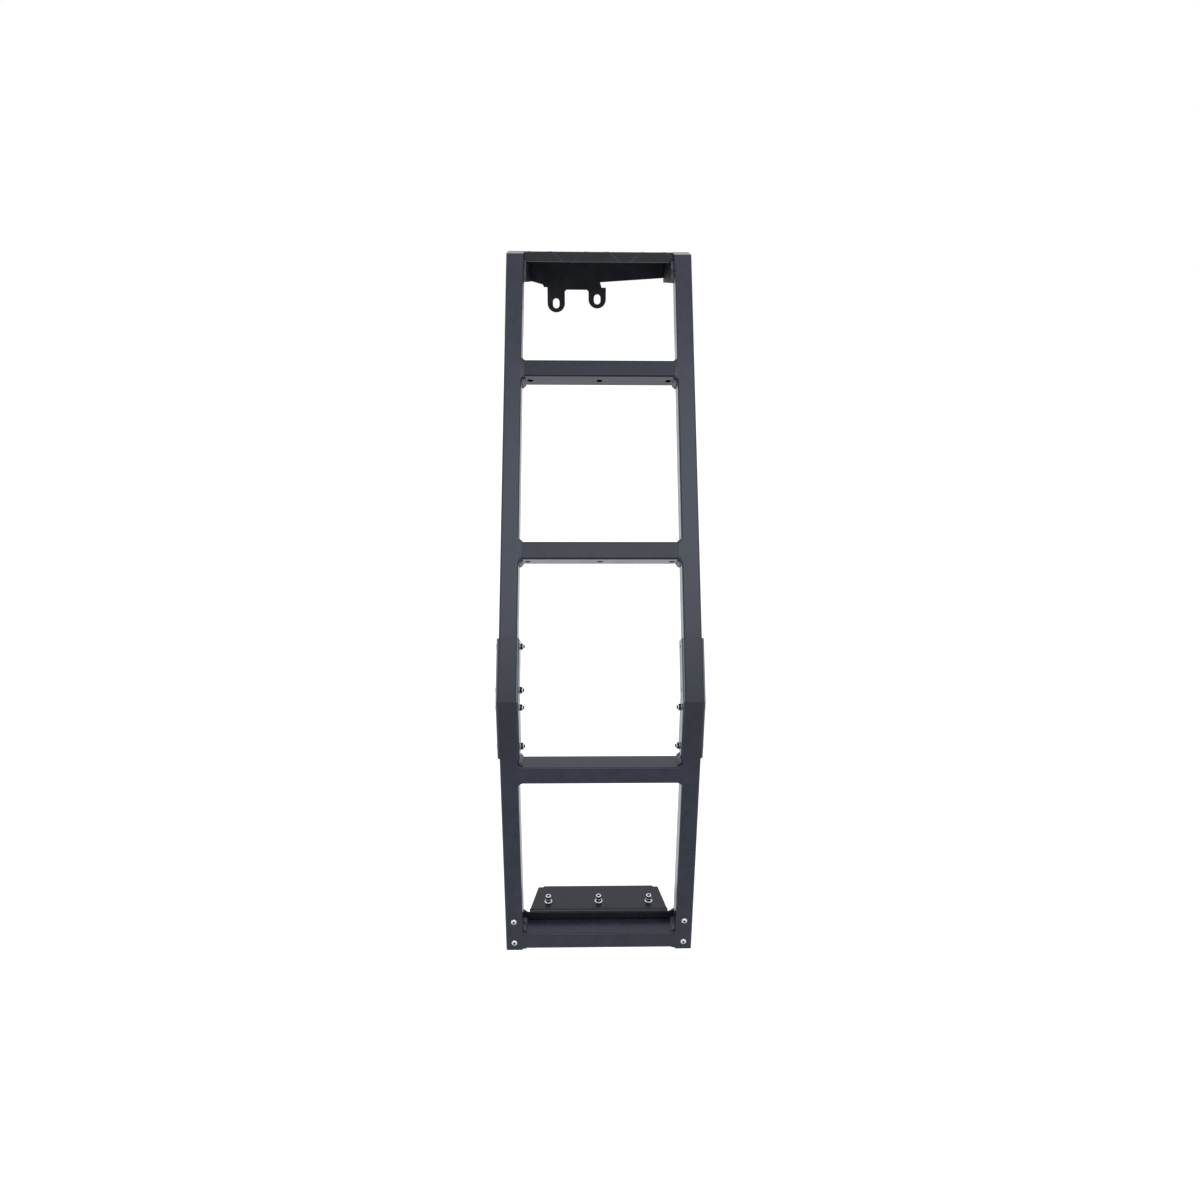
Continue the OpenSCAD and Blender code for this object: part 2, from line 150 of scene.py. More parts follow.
def clean_up(piece):
    """Merges the all but coinciding corners that a cut or a bevel leaves."""
    edit_all(piece)
    bpy.ops.mesh.remove_doubles(threshold=CUT_MERGE)
    bpy.ops.object.mode_set(mode="OBJECT")


def hand_over(piece, name, material, nodes=(), *, smooth):
    """Names a finished piece, coats it and ties it to the frame."""
    piece.name = name
    piece.data.name = name
    if material:
        piece.data.materials.clear()
        piece.data.materials.append(material)
    select_only(piece)
    bpy.ops.object.shade_smooth_by_angle(angle=math.radians(smooth))
    if nodes:
        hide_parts(*nodes)
    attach(piece, "root")


def dress_edges(names, material, edge_mm, inside=None):
    """Copies of CAD nodes with their sharp edges broken, as the blast and the coat leave them.

    Faces in the plane inside, a point and a normal, are hidden in the sheet and left out.
    """
    for name in names:
        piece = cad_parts[name].copy()
        piece.data = piece.data.copy()
        bpy.context.scene.collection.objects.link(piece)
        edit_all(piece)
        bpy.ops.mesh.remove_doubles(threshold=CAD_MERGE)
        if inside:
            point, normal = inside
            bpy.ops.object.mode_set(mode="OBJECT")
            edit_only(piece, "FACE", lambda corners: all(
                abs((corner - point).dot(normal)) < IN_PLANE for corner in corners
            ))
            bpy.ops.mesh.delete(type="FACE")
            bpy.ops.mesh.select_all(action="SELECT")
        bpy.ops.mesh.dissolve_limited(angle_limit=FLAT)
        bpy.ops.object.mode_set(mode="OBJECT")
        edge = piece.modifiers.new("edge", "BEVEL")
        edge.width = edge_mm * MM
        edge.segments = 2
        edge.limit_method = "ANGLE"
        edge.angle_limit = SHARP
        bpy.ops.object.modifier_apply(modifier="edge")
        clean_up(piece)
        hand_over(piece, name + "_finished", material, [name], smooth=50)
        flat = piece.modifiers.new("flat", "WEIGHTED_NORMAL")
        flat.keep_sharp = True
        flat.weight = 100
        bpy.ops.object.modifier_apply(modifier="flat")


# Satin black polyester powder coat: nearly black with a blue cast, and soft wide highlights.
tube_coat = coat_material(
    "satin_black_powder_coat", "#282b3a", "#212330", peel=(1.6, 0.04), rough=(0.24, 0.31)
)
dress_edges(
    [
        "left_upper_rail", "right_upper_rail", "left_lower_rail", "right_lower_rail",
        "third_rung", "bottom_rung",
    ],
    tube_coat, edge_mm=0.3,
)

# The same coat a shade deeper, as the two upper rungs show it between the paler rails.
rung_coat = coat_material(
    "satin_black_powder_coat_on_upper_rungs", "#191b2b", "#151724",
    peel=(1.6, 0.04), rough=(0.24, 0.31), ior=1.42,
)
dress_edges(["first_rung", "second_rung"], rung_coat, edge_mm=0.3)

# Seams on the front: where a rung meets a rail, the weld is ground flush with both tubes,
# and a smooth round fillet is left in each inside corner. The coat runs over it unbroken.
BEND = math.radians(29.6)
FOLD = Vector((0, -575.18, -625.71)) * MM
INNER = 135 * MM
TUBE_DEPTH = 40 * MM
RUNG_HEIGHT = 30 * MM
FILLET = 6 * MM
SEAM_BITE = 4 * MM
SEAM_DEPTH = 8 * MM
SEAM_PROUD = 0.02 * MM
SEAM_ROUND = 1.6 * MM
rung_tops = {
    "first_rung": (586 * MM, BEND),
    "second_rung": (263 * MM, BEND),
    "third_rung": (-121 * MM, 0.0),
    "bottom_rung": (-458 * MM, 0.0),
}


def start_piece(add, **where):
    """Deselects everything and adds a primitive, which is then the active object."""
    bpy.ops.object.select_all(action="DESELECT")
    add(**where)
    return bpy.context.object


def apply_place(piece):
    """Puts a piece's place, turn and size into its mesh."""
    select_only(piece)
    bpy.ops.object.transform_apply(location=True, rotation=True, scale=True)


def block(size, centre):
    """A plain block, to be shaped further."""
    piece = start_piece(bpy.ops.mesh.primitive_cube_add, size=1, location=centre)
    piece.scale = size
    apply_place(piece)
    return piece


def cut_away(piece, tool, operation="DIFFERENCE"):
    """Cuts piece with tool and removes the tool."""
    cut = piece.modifiers.new("cut", "BOOLEAN")
    cut.object = tool
    cut.operation = operation
    cut.solver = "EXACT"
    select_only(piece)
    bpy.ops.object.modifier_apply(modifier="cut")
    bpy.data.objects.remove(tool)
    clean_up(piece)


def copy_piece(piece):
    """A copy of a piece with its own mesh."""
    twin = piece.copy()
    twin.data = piece.data.copy()
    bpy.context.scene.collection.objects.link(twin)
    return twin


def mirror_x(piece):
    """Turns a piece into its mirror image across the ladder's middle."""
    piece.data.transform(Matrix.Scale(-1, 4, (1, 0, 0)))
    piece.data.flip_normals()
    return piece


def lean(piece, angle):
    """Moves a piece from the bend's own place to where its tube frame is."""
    piece.data.transform(Matrix.Translation(FOLD) @ Matrix.Rotation(-angle, 4, "X"))
    return piece


def join(pieces):
    """Joins pieces into one and returns it."""
    select_only(*pieces)
    bpy.ops.object.join()
    return bpy.context.object


seams = []
for name, (top, angle) in rung_tops.items():
    low = top - RUNG_HEIGHT
    centres = [top + FILLET]
    if name != "bottom_rung":
        low -= FILLET
        centres.append(low)
    high = centres[0]
    seam = block(
        (FILLET + SEAM_BITE, SEAM_DEPTH, high - low),
        (
            INNER + (SEAM_BITE - FILLET) / 2, SEAM_DEPTH / 2 - SEAM_PROUD,
            (low + high) / 2,
        ),
    )
    for height in centres:
        drum = start_piece(
            bpy.ops.mesh.primitive_cylinder_add, vertices=64, radius=FILLET, depth=20 * MM,
            location=(INNER - FILLET, SEAM_DEPTH / 2, height),
            rotation=(math.radians(90), 0, 0),
        )
        cut_away(seam, drum)
    edit_only(seam, "EDGE", lambda ends: all(
        end.y < 0.1 * MM and any(
            abs(math.hypot(end.x - INNER + FILLET, end.z - height) - FILLET) < IN_PLANE
            for height in centres
        )
        for end in ends
    ))
    bpy.ops.mesh.bevel(offset=SEAM_ROUND, segments=4)
    bpy.ops.object.mode_set(mode="OBJECT")
    lean(seam, angle)
    seams += [seam, mirror_x(copy_piece(seam))]
hand_over(join(seams), "ground_seams", tube_coat, smooth=35)

# Weld beads: above and below each rung end, behind the ground seam, the arc weld is left
# as it was laid. It is lumpy steel under the same coat, and small beads hold the step's
# ears to the rails.
BEAD_LENGTH = 32 * MM
BEAD_START = 7.5 * MM
BEAD_LEG = 6.4 * MM
BEAD_CROWN = 0.62
GROOVE_RADIUS = 3.1 * MM
GROOVE_PLACE = (INNER + 0.5 * MM, 37.6 * MM)
GROOVE_SLICES = 30
EAR_RUN = 36.5 * MM / math.cos(BEND)
EAR_START = 17 * MM / math.cos(BEND)
EAR_LEG = 3.4 * MM
STEP_TOP = Vector((0, -146, 65)) * MM

# Powder coat over the bare bead: it stays glossy on the lumps, and its paler colour in small
# spots is a painted glint.
weld_glint_coat = coat_material(
    "painted_glints_on_weld_coat", "#565968", "#30323e", peel=(1.4, 0.3), rough=(0.14, 0.26)
)
lumps = bpy.data.textures.new("weld_lumps", "CLOUDS")
lumps.noise_scale = 2.1 * MM
lumps.noise_depth = 2


def roughen(bead):
    """Lays the lumps of the arc weld on a bead."""
    rough = bead.modifiers.new("lumps", "DISPLACE")
    rough.texture = lumps
    rough.texture_coords = "GLOBAL"
    rough.strength = 2.3 * MM
    rough.mid_level = 0.55
    select_only(bead)
    bpy.ops.object.modifier_apply(modifier="lumps")
    return bead


def weld_bead(length, leg):
    """A bead along +Y from the origin, in the corner that opens to -X and +Z."""
    bead = block((leg, length, leg), (-leg / 2, length / 2, leg / 2))
    edit_all(bead)
    bpy.ops.mesh.bisect(
        plane_co=(-leg * BEAD_CROWN, 0, leg * BEAD_CROWN), plane_no=(-1, 0, 1),
        clear_outer=True, use_fill=True,
    )
    bpy.ops.object.mode_set(mode="OBJECT")
    edit_only(bead, "EDGE", lambda ends: abs(ends[0].y - ends[1].y) > length / 2)
    bpy.ops.mesh.subdivide(number_cuts=6)
    bpy.ops.mesh.select_all(action="SELECT")
    bpy.ops.mesh.subdivide(number_cuts=6)
    bpy.ops.object.mode_set(mode="OBJECT")
    return roughen(bead)


def back_bead(side, top, angle):
    """The upright bead in the groove behind a rung's end."""
    across, back = GROOVE_PLACE
    bead = start_piece(
        bpy.ops.mesh.primitive_cylinder_add, vertices=20, radius=GROOVE_RADIUS,
        depth=RUNG_HEIGHT, location=(side * across, back, top - RUNG_HEIGHT / 2),
    )
    apply_place(bead)
    bpy.ops.object.mode_set(mode="EDIT")
    for part in range(1, GROOVE_SLICES):
        bpy.ops.mesh.select_all(action="SELECT")
        bpy.ops.mesh.bisect(
            plane_co=(0, 0, top - RUNG_HEIGHT * part / GROOVE_SLICES), plane_no=(0, 0, 1)
        )
    bpy.ops.object.mode_set(mode="OBJECT")
    return lean(roughen(bead), angle)


def move_bead(bead, matrix):
    """Moves a bead to its corner, and keeps its faces outwards where that mirrors it."""
    bead.data.transform(matrix)
    if matrix.determinant() < 0:
        bead.data.flip_normals()
    return bead


def rung_beads(names):
    """The beads at both ends of these rungs, which get 1 mm shorter from rung to rung."""
    made = []
    for index, name in enumerate(names):
        top, angle = rung_tops[name]
        for side in (1, -1):
            made.append(back_bead(side, top, angle))
            for up in (1, -1):
                if name == "bottom_rung" and up < 0:
                    continue
                height = top if up > 0 else top - RUNG_HEIGHT
                corner = Matrix.Translation((side * INNER, BEAD_START, height))
                bead = move_bead(
                    weld_bead(BEAD_LENGTH - index * MM, BEAD_LEG),
                    corner @ Matrix.Diagonal((side, 1, up, 1)),
                )
                made.append(lean(bead, angle))
    return made


def ear_bead(side):
    """The thin bead down the front of an ear of the step."""
    return move_bead(
        weld_bead(EAR_RUN, EAR_LEG),
        Matrix.Translation(STEP_TOP + Vector((side * INNER, 0.5 * MM, 0)))
        @ Matrix.Rotation(-BEND, 4, "X")
        @ Matrix.Translation((0, 0, -EAR_START - EAR_RUN))
        @ Matrix(((side, 0, 0, 0), (0, 0, -1, 0), (0, 1, 0, 0), (0, 0, 0, 1))),
    )


upper_beads = rung_beads(["first_rung", "second_rung"]) + [ear_bead(1), ear_bead(-1)]
lower_beads = rung_beads(["third_rung", "bottom_rung"])
for beads, name, node in (
    (upper_beads, "upper_beads", "upper_welds"), (lower_beads, "lower_beads", "lower_welds"),
):
    hand_over(join(beads), name, weld_glint_coat, [node], smooth=40)

# Elbow sleeves: two lengths of box tube a size larger, mitred, welded into an elbow and
# dressed smooth. They slide over the rail ends, and cross screws hold them.

# Powder coat on smooth dressed steel: a shade deeper and a little duller than on the rails.
sleeve_coat = coat_material(
    "powder_coat_on_sleeves", "#252834", "#1f212c", peel=(1.8, 0.04), rough=(0.26, 0.33)
)
dress_edges(
    ["left_sleeve_upper", "left_sleeve_lower", "right_sleeve_upper", "right_sleeve_lower"],
    sleeve_coat, edge_mm=0.3,
)

# Painted highlight: a pale line coloured down the slanted front corners of the upper arms,
# where the rounded edge catches light.
CORNER_SLANT = (0.55, 0.83)
CORNER_AREA = 3 * MM ** 2
corner_highlight_coat = coat_material(
    "painted_highlight_on_sleeve_corners", "#787a86", "#666874",
    peel=(1.8, 0.03), rough=(0.2, 0.28),
)
for side in ("left", "right"):
    arm = bpy.data.objects[side + "_sleeve_upper_finished"]
    arm.data.materials.append(corner_highlight_coat)
    for face in arm.data.polygons:
        # Slanted corner faces that look to the front take the painted highlight.
        slanted = CORNER_SLANT[0] < abs(face.normal.x) < CORNER_SLANT[1]
        if slanted and face.normal.y < 0 and face.area > CORNER_AREA:
            face.material_index = 1

# End plates: 2 mm steel plates that close the rail ends. They are welded in and dressed
# flush, and are coated with the rest.
dress_edges(
    ["left_top_cap", "right_top_cap", "left_bottom_cap", "right_bottom_cap"],
    sleeve_coat, edge_mm=0.4,
)

# Bottom bracket: laser cut 4 mm sheet steel, folded into a flange, and screwed to the
# backs of the lower rails. The flat sheet takes the coat more evenly than the tubes do.

# Powder coat on flat sheet: a plain, even and slightly duller black.
plate_coat = coat_material(
    "powder_coat_on_sheet", "#1f2029", "#181920", peel=(1.4, 0.03), rough=(0.26, 0.34)
)
dress_edges(["bottom_bracket"], plate_coat, edge_mm=0.5)

# Top step: a 3 mm steel sheet folded down at the front into a lip that leans with the
# rails, and at the sides into ears that are welded to them.
BEND_OUTER = 5 * MM
BEND_START = BEND_OUTER * math.tan(math.radians(45) - BEND / 2)
EAR_INSIDE = 133 * MM

# Powder coat on the folded sheet: even, and deeper in tone than the rails beside it.
step_coat = coat_material(
    "powder_coat_on_step", "#171820", "#121318",
    peel=(1.4, 0.03), rough=(0.24, 0.32), ior=1.4,
)
along_lip = Vector((0, math.sin(BEND), math.cos(BEND)))
dress_edges(
    ["top_step"], step_coat, edge_mm=0.3,
    inside=(STEP_TOP - along_lip * BEND_START, along_lip),
)

# Painted shade: the faces between the ears that look inwards are coloured dull and nearly
# black, for the shade in the step's hollow.
step_shade_coat = coat_material(
    "painted_shade_inside_step", "#14151a", "#101115",
    peel=(1.4, 0.03), rough=(0.5, 0.6), ior=1.22,
)
step = bpy.data.objects["top_step_finished"]
step.data.materials.append(step_shade_coat)
# Faces between the ears that look inwards take the painted shade.
for face in step.data.polygons:
    looks_in = face.normal.x * face.center.x < -0.1 * MM
    if abs(face.center.x) < EAR_INSIDE and looks_in:
        face.material_index = 1

# Hook plate: laser cut 4 mm sheet steel with two slotted tabs, welded to the back edge of
# the step. One bolt through each slot hangs the ladder on the door.

# Powder coat on a plate in the step's shade, coloured a paler black as painted light against
# that shade, so that it keeps its tone there.
hook_coat = coat_material(
    "powder_coat_on_hook_plate", "#292a32", "#202128", peel=(1.4, 0.03), rough=(0.28, 0.36)
)
dress_edges(["hook_plate"], hook_coat, edge_mm=0.5)

# Tread on the step: a diamond of fine ridges, pressed into the sheet before it is folded, so
# the ridges run over the front bend and down the lip.
BEND_LENGTH = BEND_OUTER * (math.radians(90) - BEND)
RIDGE_WIDTH = 1.8 * MM
RIDGE_RISE = 0.35 * MM
RIDGE_ROOT = 0.3 * MM
RIDGE_PITCH = 104 * MM
RIDGE_LENGTH = 520 * MM
RIDGE_CROSSING = (-4 * MM, 20 * MM)
RIDGE_SLANT = math.radians(45)
LIP_HEIGHT = 16.5 * MM / math.cos(BEND)
PLATE_END = 139 * MM
HALF_STEP = INNER - 1 * MM
BEND_SLICES = 6


def fold_over(point):
    """A place on the flat sheet, taken round the front bend of the step."""
    x, run, rise = point
    if run >= 0:
        place = Vector((x, BEND_START + run, rise))
    elif run > -BEND_LENGTH:
        turn = -run / BEND_OUTER
        reach = BEND_OUTER + rise
        place = Vector((
            x, BEND_START - reach * math.sin(turn), -BEND_OUTER + reach * math.cos(turn)
        ))
    else:
        down = -run - BEND_LENGTH + BEND_START
        place = Vector((
            x, -down * math.sin(BEND) - rise * math.cos(BEND),
            -down * math.cos(BEND) + rise * math.sin(BEND),
        ))
    return STEP_TOP + place


def cut_off(piece, place, outward):
    """Trims a piece at a plane and closes it."""
    edit_all(piece)
    bpy.ops.mesh.bisect(plane_co=place, plane_no=outward, clear_outer=True, use_fill=True)
    bpy.ops.object.mode_set(mode="OBJECT")


ridges = []
for slope in (1, -1):
    for step in range(-3, 4):
        ridge = block(
            (RIDGE_LENGTH, RIDGE_WIDTH, RIDGE_RISE + RIDGE_ROOT),
            (0, 0, (RIDGE_RISE - RIDGE_ROOT) / 2),
        )
        edit_only(ridge, "EDGE", lambda ends: (
            all(end.z > 0 for end in ends) and abs(ends[0].y - ends[1].y) < MM
        ))
        bpy.ops.mesh.bevel(offset=RIDGE_RISE * 0.9, segments=3)
        bpy.ops.object.mode_set(mode="OBJECT")
        across, back = RIDGE_CROSSING
        ridge.data.transform(
            Matrix.Translation((across + step * RIDGE_PITCH, back, 0))
            @ Matrix.Rotation(RIDGE_SLANT * slope, 4, "Z")
        )
        cut_off(ridge, (HALF_STEP, 0, 0), (1, 0, 0))
        cut_off(ridge, (-HALF_STEP, 0, 0), (-1, 0, 0))
        cut_off(ridge, (0, PLATE_END, 0), (0, 1, 0))
        cut_off(ridge, (0, -BEND_LENGTH - LIP_HEIGHT, 0), (0, -1, 0))
        if not ridge.data.vertices:
            bpy.data.objects.remove(ridge)
            continue
        edit_all(ridge)
        for part in range(BEND_SLICES + 1):
            bpy.ops.mesh.select_all(action="SELECT")
            bpy.ops.mesh.bisect(
                plane_co=(0, -BEND_LENGTH * part / BEND_SLICES, 0), plane_no=(0, 1, 0)
            )
        bpy.ops.object.mode_set(mode="OBJECT")
        for vertex in ridge.data.vertices:
            vertex.co = fold_over(vertex.co)
        ridges.append(ridge)

# Painted highlight: the ridges are coloured paler and made smoother than the sheet, so they
# show as pale lines.
ridge_highlight_coat = coat_material(
    "painted_highlight_on_tread_ridges", "#34363e", "#212329", peel=(1.2, 0.03), rough=(0.2, 0.3)
)
hand_over(join(ridges), "step_tread", ridge_highlight_coat, smooth=40)

# Screws: M6 stainless steel, turned bright, with low domed heads and hexagon sockets. They
# go through the sleeves from outside, and through the lower rails from the front.


def steel_material(name, light, dark, mark_mm, detail, rough):
    """Turned steel: two close tones and an uneven polish, both in fine marks.

    The marks are drawn coarser than the real 0.1 mm so that they show.
    """
    metal = bpy.data.materials.new(name)
    metal.use_nodes = True
    shader = metal.node_tree.nodes["Principled BSDF"]
    shader.inputs["Metallic"].default_value = 1.0
    place = add_node(metal, "ShaderNodeTexCoord")
    marks = add_node(
        metal, "ShaderNodeTexNoise",
        {"Scale": 1 / (mark_mm * MM), "Detail": detail},
        {"Vector": place.outputs["Object"]},
    )
    tones = add_node(metal, "ShaderNodeValToRGB", links={"Fac": marks.outputs["Fac"]})
    tones.color_ramp.elements[0].color = colour(dark)
    tones.color_ramp.elements[1].color = colour(light)
    polish = add_node(
        metal, "ShaderNodeMapRange",
        {"From Min": 0.3, "From Max": 0.7, "To Min": rough[0], "To Max": rough[1]},
        {"Value": marks.outputs["Fac"]},
    )
    metal.node_tree.links.new(tones.outputs["Color"], shader.inputs["Base Color"])
    metal.node_tree.links.new(polish.outputs["Result"], shader.inputs["Roughness"])
    return metal


# Stainless steel, turned and tumbled: pale and bright, with a softened mirror.
steel = steel_material(
    "bright_stainless_steel", "#e9eaeb", "#cfd1d3", mark_mm=0.8, detail=3.0,
    rough=(0.25, 0.38),
)
# Painted shade: steel in sockets, thread roots, knurl grooves and nut bores is coloured nearly
# black, and so are the nut flats as a painted dark reflection.
painted_shade_steel = steel_material(
    "steel_with_painted_shade_in_recesses", "#3a3b3e", "#1c1d1f", mark_mm=0.6, detail=2.0,
    rough=(0.3, 0.45),
)

# All sizes that the fasteners' functions take are in millimetres.
THREAD_PITCH = 1
CREST, RUN_OUT, ROOT, TIP = 3.0, 2.9, 2.62, 2.5


def turned(sides, steps):
    """A turned piece along Z from its (height, radius) steps."""
    piece = start_piece(
        bpy.ops.mesh.primitive_circle_add, vertices=sides, radius=steps[0][1] * MM,
        fill_type="NGON", location=(0, 0, steps[0][0] * MM),
    )
    apply_place(piece)
    edit_all(piece)
    for (low, narrow), (high, wide) in zip(steps, steps[1:]):
        bpy.ops.mesh.extrude_region_move(
            TRANSFORM_OT_translate={"value": (0, 0, (high - low) * MM)}
        )
        bpy.ops.transform.resize(
            value=(wide / narrow, wide / narrow, 1), center_override=(0, 0, high * MM)
        )
    bpy.ops.mesh.select_all(action="SELECT")
    bpy.ops.mesh.normals_make_consistent(inside=False)
    bpy.ops.object.mode_set(mode="OBJECT")
    return piece


def thread_steps(low, high):
    """Crests and roots of an M6 thread between two heights."""
    steps = [(low, RUN_OUT)]
    height = low + 0.25
    while height < high - 0.6:
        steps += [(height, CREST), (height + 0.35, ROOT), (height + 0.6, ROOT)]
        height += THREAD_PITCH
    return steps + [(high - 0.4, RUN_OUT), (high, TIP)]


def prism(flats, low, high):
    """A hexagon of this width across its flats between two heights."""
    return start_piece(
        bpy.ops.mesh.primitive_cylinder_add, vertices=6, radius=flats / math.sqrt(3) * MM,
        depth=(high - low) * MM, location=(0, 0, (high + low) / 2 * MM),
    )


def two_steels(piece, areas):
    """Bright steel all over, and steel darkened as painted shade in areas of radius from, to,
    height from, to.
    """
    piece.data.materials.clear()
    piece.data.materials.append(steel)
    piece.data.materials.append(painted_shade_steel)
    for face in piece.data.polygons:
        place = face.center / MM
        out = math.hypot(place.x, place.y)
        face.material_index = int(any(
            narrow < out < wide and low < place.z < high
            for narrow, wide, low, high in areas
        ))
    return piece


def domed_screw(length):
    """A screw with its seat at the origin, its shank along +Z and its head along -Z."""
    shank = turned(48, thread_steps(0, length))
    head = turned(48, [
        (0, 4.9), (-0.25, 5.25), (-0.8, 5.22), (-1.5, 4.95), (-2.1, 4.5), (-2.6, 3.95),
        (-3.0, 3.35), (-3.22, 2.9), (-3.3, 2.6),
    ])
    cut_away(head, prism(4, -3.6, -0.6))
    # The socket and the thread roots take the painted shade.
    key_socket = (-1, 2.4, -3.25, -0.5)
    thread_roots = (2.5, 2.95, 0.5, length)
    return two_steels(join([shank, head]), [key_socket, thread_roots])


SLEEVE_SHANK = 44.6
RAIL_SHANK = 52
SLEEVE_FACE = 168.3 * MM
SLEEVE_WIDTH = 36.6 * MM
RAIL_CENTRE = 150 * MM
BRACKET_BACK = 44 * MM
sleeve_screws = {
    ("left", 1): 91, ("left", 2): 20, ("left", 3): -20, ("left", 4): -91,
    ("right", 3): -20, ("right", 4): -91,
}
rail_screws = {
    ("left", 1): -429, ("left", 2): -474, ("right", 1): -429, ("right", 2): -474,
}


def sleeve_seat(side, height, depth):
    """The place of a sleeve screw's seat, or of its nut's, with Z pointing inwards."""
    way = 1 if side == "right" else -1
    return (
        Matrix.Translation(FOLD)
        @ Matrix.Rotation(-BEND if height > 0 else 0.0, 4, "X")
        @ Matrix.Translation((way * SLEEVE_FACE, TUBE_DEPTH / 2, height * MM))
        @ Matrix.Rotation(math.radians(-90 * way), 4, "Y")
        @ Matrix.Translation((0, 0, depth))
    )


def rail_seat(side, height, depth):
    """The place of a rail screw's seat, or of its nut's, with Z pointing backwards."""
    way = 1 if side == "right" else -1
    return (
        Matrix.Translation(FOLD)
        @ Matrix.Translation((way * RAIL_CENTRE, depth, height * MM))
        @ Matrix.Rotation(math.radians(-90), 4, "X")
    )


def fit_all(pattern, places, seat, depth, label, old_label):
    """Fits a copy of a fastener at each of its places, each turned a little differently."""
    for index, ((side, number), height) in enumerate(places.items()):
        twin = copy_piece(pattern)
        twin.data.transform(Matrix.Rotation(math.radians(37 * index + 11), 4, "Z"))
        twin.data.transform(seat(side, height, depth))
        hand_over(
            twin, f"{side}_{label}_{number}", None,
            [f"{side}_{old_label}_{number}"], smooth=30,
        )
    bpy.data.objects.remove(pattern)


fit_all(
    domed_screw(SLEEVE_SHANK), sleeve_screws, sleeve_seat, 0, "sleeve_screw", "sleeve_bolt"
)
fit_all(domed_screw(RAIL_SHANK), rail_screws, rail_seat, 0, "rail_screw", "rail_bolt")

# Lock nuts: stainless hexagon nuts on a pressed washer face, chamfered at both ends, with
# a rolled collar on top that holds the locking ring. They sit on the screws' ends.
ACROSS_FLATS = 10
NUT_HEIGHT = 6


def hexagon_nut(foot, top, extras):
    """A chamfered hexagon between two heights, with its turned foot and collar."""
    nut = prism(ACROSS_FLATS, foot, top)
    apply_place(nut)
    chamfers = turned(64, [
        (foot - 0.01, 4.9), (foot + 0.5, 5.78), (top - 0.5, 5.78), (top + 0.01, 4.85),
    ])
    cut_away(nut, chamfers, "INTERSECT")
    for ring in [turned(64, steps) for steps in extras]:
        cut_away(nut, ring, "UNION")
    cut_away(nut, turned(48, [
        (-1, 3.08), (NUT_HEIGHT - 0.5, 3.08), (NUT_HEIGHT + 0.2, 3.7),
    ]))
    # The bore takes the painted shade, and the hexagon's flats a painted dark reflection.
    bore = (-1, 3.2, 0.1, NUT_HEIGHT - 0.1)
    flats = (4.9, 5.1, 1.5, 4.2)
    return two_steels(nut, [bore, flats])


lock_nut = hexagon_nut(0.9, 4.8, [
    [(0, 5.6), (0.15, 5.75), (0.8, 5.75), (1.0, 5.2)],
    [(4.5, 4.7), (5.2, 4.7), (5.7, 4.35), (6.0, 3.9)],
])
rail_nut = copy_piece(lock_nut)
fit_all(
    lock_nut, sleeve_screws, sleeve_seat, SLEEVE_WIDTH, "sleeve_lock_nut", "sleeve_nut"
)
fit_all(rail_nut, rail_screws, rail_seat, BRACKET_BACK, "rail_lock_nut", "rail_nut")

# Clamp screws and flange nuts: three socket head screws with knurled heads, each turned
# down through a flange nut and through the bracket's flange onto the door's edge.
CLAMP_PLACE = Vector((0, 65, -440)) * MM
CLAMP_SPACING = 92 * MM
KNURL_DEGREES = 5
KNURL_SCALE = 0.955
clamp_head = turned(72, [
    (6.0, 4.6), (6.15, 4.8), (6.6, 4.95), (11.3, 4.95), (11.8, 4.7), (12.0, 4.3),
])


def in_knurl(corners):
    """Whether a corner of the head lies in one of the knurl's grooves."""
    turn = math.degrees(math.atan2(corners[0].y, corners[0].x))
    return 6.5 * MM < corners[0].z < 11.4 * MM and round(turn / KNURL_DEGREES) % 2 == 0


edit_only(clamp_head, "VERT", in_knurl)
bpy.ops.transform.resize(
    value=(KNURL_SCALE, KNURL_SCALE, 1), center_override=(0, 0, 9 * MM)
)
bpy.ops.object.mode_set(mode="OBJECT")
cut_away(clamp_head, prism(5, 7, 13))
# The socket and the knurl's grooves take the painted shade.
key_socket = (-1, 3.0, 6.9, 11.95)
knurl_grooves = (4.4, 4.85, 6.4, 11.5)
clamp_screw = two_steels(
    join([clamp_head, turned(48, thread_steps(-16, 6.2))]), [key_socket, knurl_grooves]
)
flange_nut = hexagon_nut(0.9, NUT_HEIGHT, [
    [(0, 6.8), (0.2, 7.0), (0.6, 7.0), (1.5, 5.5), (1.7, 5.0)],
])
for pattern, label, node in (
    (clamp_screw, "clamp_socket_screws", "clamp_screws"),
    (flange_nut, "clamp_flange_nuts", "clamp_nuts"),
):
    trio = []
    for step in (-1, 0, 1):
        twin = copy_piece(pattern)
        twin.data.transform(
            Matrix.Translation(FOLD + CLAMP_PLACE + Vector((CLAMP_SPACING * step, 0, 0)))
            @ Matrix.Rotation(math.radians(23 * step + 10), 4, "Z")
        )
        trio.append(twin)
    bpy.data.objects.remove(pattern)
    hand_over(join(trio), label, None, [node], smooth=25)

# The stage: a pale matt floor well below the ladder, which glows a little where the
# camera or a reflection sees it, a white surround, and one soft lamp above the camera.
FLOOR_HEIGHT = -1.45
FLOOR_GLOW = 0.5
SURROUND_LIGHT = 0.8
SURROUND_SEEN = 1.0


def stage_sheet(name, paint_name, size, centre, upright=False, grey=0.85, rough=1.0):
    """A flat matt sheet of the stage, level or upright, with its own paint."""
    sheet = start_piece(
        bpy.ops.mesh.primitive_plane_add, size=1, location=centre,
        rotation=(math.radians(90) if upright else 0, 0, 0),
    )
    sheet.name = name
    sheet.scale = (size[0], size[1], 1)
    apply_place(sheet)
    paint = bpy.data.materials.new(paint_name)
    paint.use_nodes = True
    shader = paint.node_tree.nodes["Principled BSDF"]
    shader.inputs["Base Color"].default_value = (grey, grey, grey, 1)
    shader.inputs["Roughness"].default_value = rough
    sheet.data.materials.append(paint)
    return sheet


